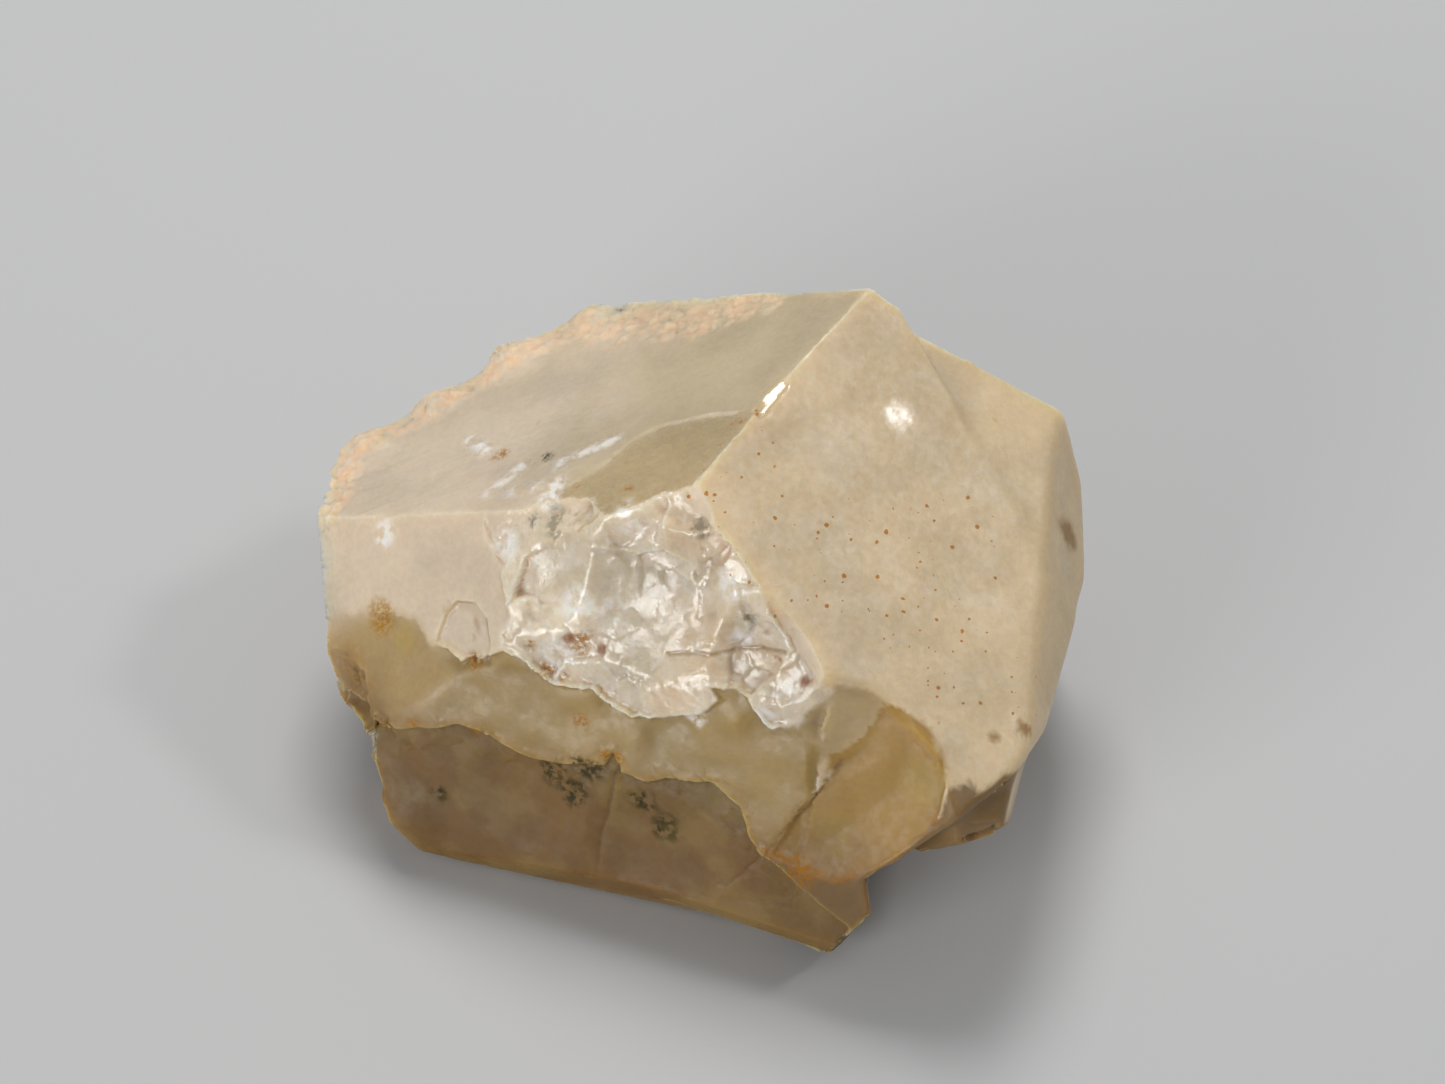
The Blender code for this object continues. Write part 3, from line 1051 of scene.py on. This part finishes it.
# Sizes of the specks' cells and of the inner cracks' web, and the bump's depth.
SPECK_CELL = 0.30
WEB_CELL = 1.3
BUMP_DEPTH = 0.03


def layered_colour(n):
    """The milky body with the layers over it. Gives the colour and how far each layer covers."""
    colour = n.blend(n.times(n.ramp(n.noise(1.8), 0.42, 0.72), 0.6), MILK, PALE)
    covers = {}
    for mask, tone, strength, *patches in LAYERS:
        cover = n.times(n.mask(mask), strength)
        for size in patches:
            cover = n.times(cover, n.ramp(n.noise(size), 0.38, 0.58))
        colour = n.blend(cover, colour, tone)
        covers[mask] = cover
    return colour, covers


def add_blotches(n, colour):
    """Lighter blotches on the wall."""
    blotches = n.times(n.ramp(n.noise(2.6), 0.45, 0.62), n.times(n.mask("wall"), 0.35))
    return n.blend(blotches, colour, WALL_BLOTCH)


def add_veils(n, colour):
    """Clear, darker windows and whitish inner cracks in the glassy patch."""
    webs = n.add("ShaderNodeTexVoronoi", feature="DISTANCE_TO_EDGE")
    webs.inputs["Scale"].default_value = 1.0 / (WEB_CELL * MM)
    n.link(n.warped(size=1.2, amount=0.9), webs.inputs["Vector"])
    web = n.minus(1.0, n.ramp(webs.outputs["Distance"], 0.01, 0.10))
    windows = n.times(n.ramp(n.noise(1.0, detail=3.0), 0.50, 0.68), n.mask("glassy"))
    colour = n.blend(n.times(windows, 0.35), colour, WINDOW)
    veil = n.times(n.times(web, n.ramp(n.noise(0.7, detail=2.0), 0.45, 0.65)), n.mask("glassy"))
    return n.blend(n.times(veil, 0.30), colour, VEIL)


def add_specks(n, colour):
    """Red-brown dots in small cells, most of them tiny. Gives the colour and the dots."""
    grid = n.add("ShaderNodeTexVoronoi")
    grid.inputs["Scale"].default_value = 1.0 / (SPECK_CELL * MM)
    n.link(n.warped(size=0.12, amount=0.10), grid.inputs["Vector"])
    chance = n.add("ShaderNodeSeparateColor")
    n.link(grid.outputs["Color"], chance.inputs["Color"])
    size = n.plus(n.times(n.maths("POWER", chance.outputs["Red"], 3.0), 0.24), 0.06)
    dot = n.maths("LESS_THAN", grid.outputs["Distance"], size)
    chosen = n.maths("GREATER_THAN", chance.outputs["Green"], 0.35)
    dots = n.times(n.times(dot, chosen), n.ramp(n.mask("specks"), 0.05, 0.3))
    return n.blend(n.times(dots, 0.9), colour, SPECK), dots


def add_shade(n, colour):
    """Slow and fine differences in brightness."""
    slow = n.times(n.ramp(n.noise(3.2, detail=5.0), 0.35, 0.65), 0.14)
    fine = n.times(n.ramp(n.noise(0.22, detail=3.0), 0.35, 0.65), 0.06)
    shade = n.plus(n.plus(slow, 0.84), fine)
    grey = n.add("ShaderNodeCombineColor")
    for channel in ("Red", "Green", "Blue"):
        n.link(shade, grey.inputs[channel])
    return n.blend(1.0, colour, grey.outputs["Color"], "MULTIPLY")


def set_roughness(n, surface):
    """A frosted surface, glassier or duller by region."""
    rough = n.plus(n.times(n.ramp(n.noise(0.35, detail=5.0), 0.3, 0.7), 0.14), BASE_ROUGHNESS)
    for mask, change in ROUGHNESS_CHANGES:
        rough = n.plus(rough, n.times(n.mask(mask), change))
    n.link(n.maths("MAXIMUM", rough, LEAST_ROUGHNESS), surface.inputs["Roughness"])


def set_glow(n, surface, covers, dots):
    """Light spreads inside the milky mineral; stains, and the painted shadow under the wall's step, let
    little in and shine less.
    """
    stain_and_shadow = dots
    for mask in STAINS_AND_SHADOW:
        stain_and_shadow = n.maths("MAXIMUM", stain_and_shadow, covers[mask])
    n.link(n.minus(0.85, n.times(stain_and_shadow, 0.75)), surface.inputs["Subsurface Weight"])
    n.link(n.minus(0.5, n.times(stain_and_shadow, 0.45)), surface.inputs["Specular IOR Level"])
    surface.inputs["Subsurface Radius"].default_value = GLOW_RADIUS
    surface.inputs["Subsurface Scale"].default_value = GLOW_SCALE * MM
    surface.inputs["IOR"].default_value = REFRACTIVE_INDEX


def set_bump(n, surface):
    """Fine grain, weaker on the clear and the polished places."""
    relief = n.plus(n.noise(0.16, detail=5.0, roughness=0.6), n.times(n.noise(0.6, detail=3.0), 0.7))
    calm = n.maths("MAXIMUM", n.mask("polish"), n.mask("clear"))
    bump = n.add("ShaderNodeBump")
    n.link(n.minus(0.35, n.times(calm, 0.25)), bump.inputs["Strength"])
    bump.inputs["Distance"].default_value = BUMP_DEPTH * MM
    n.link(relief, bump.inputs["Height"])
    n.link(bump.outputs["Normal"], surface.inputs["Normal"])


def mineral_material():
    """Milky phenakite with its glassy, stained, crusted and broken regions, and painted highlights and
    shadow.
    """
    material = bpy.data.materials.new("milky_phenakite_surface")
    material.use_nodes = True
    n = Nodes(material.node_tree)
    surface = material.node_tree.nodes["Principled BSDF"]
    colour, covers = layered_colour(n)
    colour = add_veils(n, add_blotches(n, colour))
    colour, dots = add_specks(n, colour)
    n.link(add_shade(n, colour), surface.inputs["Base Color"])
    set_roughness(n, surface)
    set_glow(n, surface, covers, dots)
    set_bump(n, surface)
    return material


# ---- studio


# All places in this section are in the frame's own millimetres, not measured from the heart.
CAMERA_TARGET = (0.80, 0.36, 10.86)
CAMERA_ELEVATION = 50.0
CAMERA_DISTANCE = 144.5
CAMERA_LENS = 100.0
CAMERA_SENSOR = 36.0
CLIP_START_METRES = 0.01

# A plain floor that lies a hair below the crystal.
FLOOR_SIZE_METRES = 2.0
FLOOR_DROP_METRES = 0.00002
FLOOR_COLOUR = (0.55, 0.55, 0.55, 1.0)
FLOOR_ROUGHNESS = 0.8

# Each soft box: its name, place, width and power.
SOFT_BOXES = (
    ("key", (-5.0, 120.0, 228.0), 90.0, 0.36),
    ("sheen", (175.0, 12.0, 205.0), 40.0, 0.11),
    ("fill", (-160.0, -186.0, 84.0), 120.0, 0.33),
)
LIGHT_TARGET = (0.0, 0.0, 8.0)
SKY_COLOUR = (0.97, 0.98, 1.0, 1.0)
SKY_STRENGTH = 0.22


def add_floor():
    """A plain pale floor."""
    bpy.ops.mesh.primitive_plane_add(size=FLOOR_SIZE_METRES, location=(0.0, 0.0, -FLOOR_DROP_METRES))
    floor = bpy.context.object
    floor.name = "floor"
    material = bpy.data.materials.new("pale_floor")
    material.use_nodes = True
    surface = material.node_tree.nodes["Principled BSDF"]
    surface.inputs["Base Color"].default_value = FLOOR_COLOUR
    surface.inputs["Roughness"].default_value = FLOOR_ROUGHNESS
    floor.data.materials.append(material)


def add_light(name, location, size, power):
    """A square soft box that faces the crystal, placed in millimetres."""
    light = bpy.data.lights.new(name, "AREA")
    light.size = size * MM
    light.energy = power
    lamp = bpy.data.objects.new(name, light)
    bpy.context.scene.collection.objects.link(lamp)
    lamp.location = Vector(location) * MM
    aim = (Vector(LIGHT_TARGET) - Vector(location)).to_track_quat("-Z", "Y")
    lamp.rotation_euler = aim.to_euler()


def add_studio():
    """Soft light from above and behind, a sheen light from the right and a weaker fill from the front."""
    for name, location, size, power in SOFT_BOXES:
        add_light(name, location, size, power)
    world = bpy.data.worlds.new("studio")
    world.use_nodes = True
    background = world.node_tree.nodes["Background"]
    background.inputs["Color"].default_value = SKY_COLOUR
    background.inputs["Strength"].default_value = SKY_STRENGTH
    bpy.context.scene.world = world
    bpy.context.scene.view_settings.view_transform = "Standard"


def add_camera():
    """Looks down on the crystal's front, along +Y."""
    camera = bpy.data.objects.new("camera", bpy.data.cameras.new("camera"))
    bpy.context.scene.collection.objects.link(camera)
    angle = math.radians(CAMERA_ELEVATION)
    back = Vector((0.0, -math.cos(angle), math.sin(angle)))
    camera.location = (Vector(CAMERA_TARGET) + back * CAMERA_DISTANCE) * MM
    camera.rotation_euler = (math.radians(90.0 - CAMERA_ELEVATION), 0.0, 0.0)
    camera.data.lens = CAMERA_LENS
    camera.data.sensor_width = CAMERA_SENSOR
    camera.data.clip_start = CLIP_START_METRES
    bpy.context.scene.camera = camera


def add_crystal(frame):
    """The visible crystal, which stands for the CAD node."""
    piece = fine_copy(frame["nodes"][NODE], "crystal")
    carve(piece)
    thin_out(piece, "crystal")
    piece.data.shade_smooth()
    paint(piece)
    piece.data.materials.append(mineral_material())
    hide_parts(NODE)
    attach(piece, "root")


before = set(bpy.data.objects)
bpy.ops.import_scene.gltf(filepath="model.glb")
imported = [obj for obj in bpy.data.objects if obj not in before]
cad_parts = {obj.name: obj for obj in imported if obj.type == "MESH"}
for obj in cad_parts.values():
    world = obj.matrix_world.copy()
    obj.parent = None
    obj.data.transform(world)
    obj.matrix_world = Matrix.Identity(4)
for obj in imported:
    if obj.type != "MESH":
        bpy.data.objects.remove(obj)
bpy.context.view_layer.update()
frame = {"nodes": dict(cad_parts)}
add_crystal(frame)
add_floor()
add_studio()
add_camera()
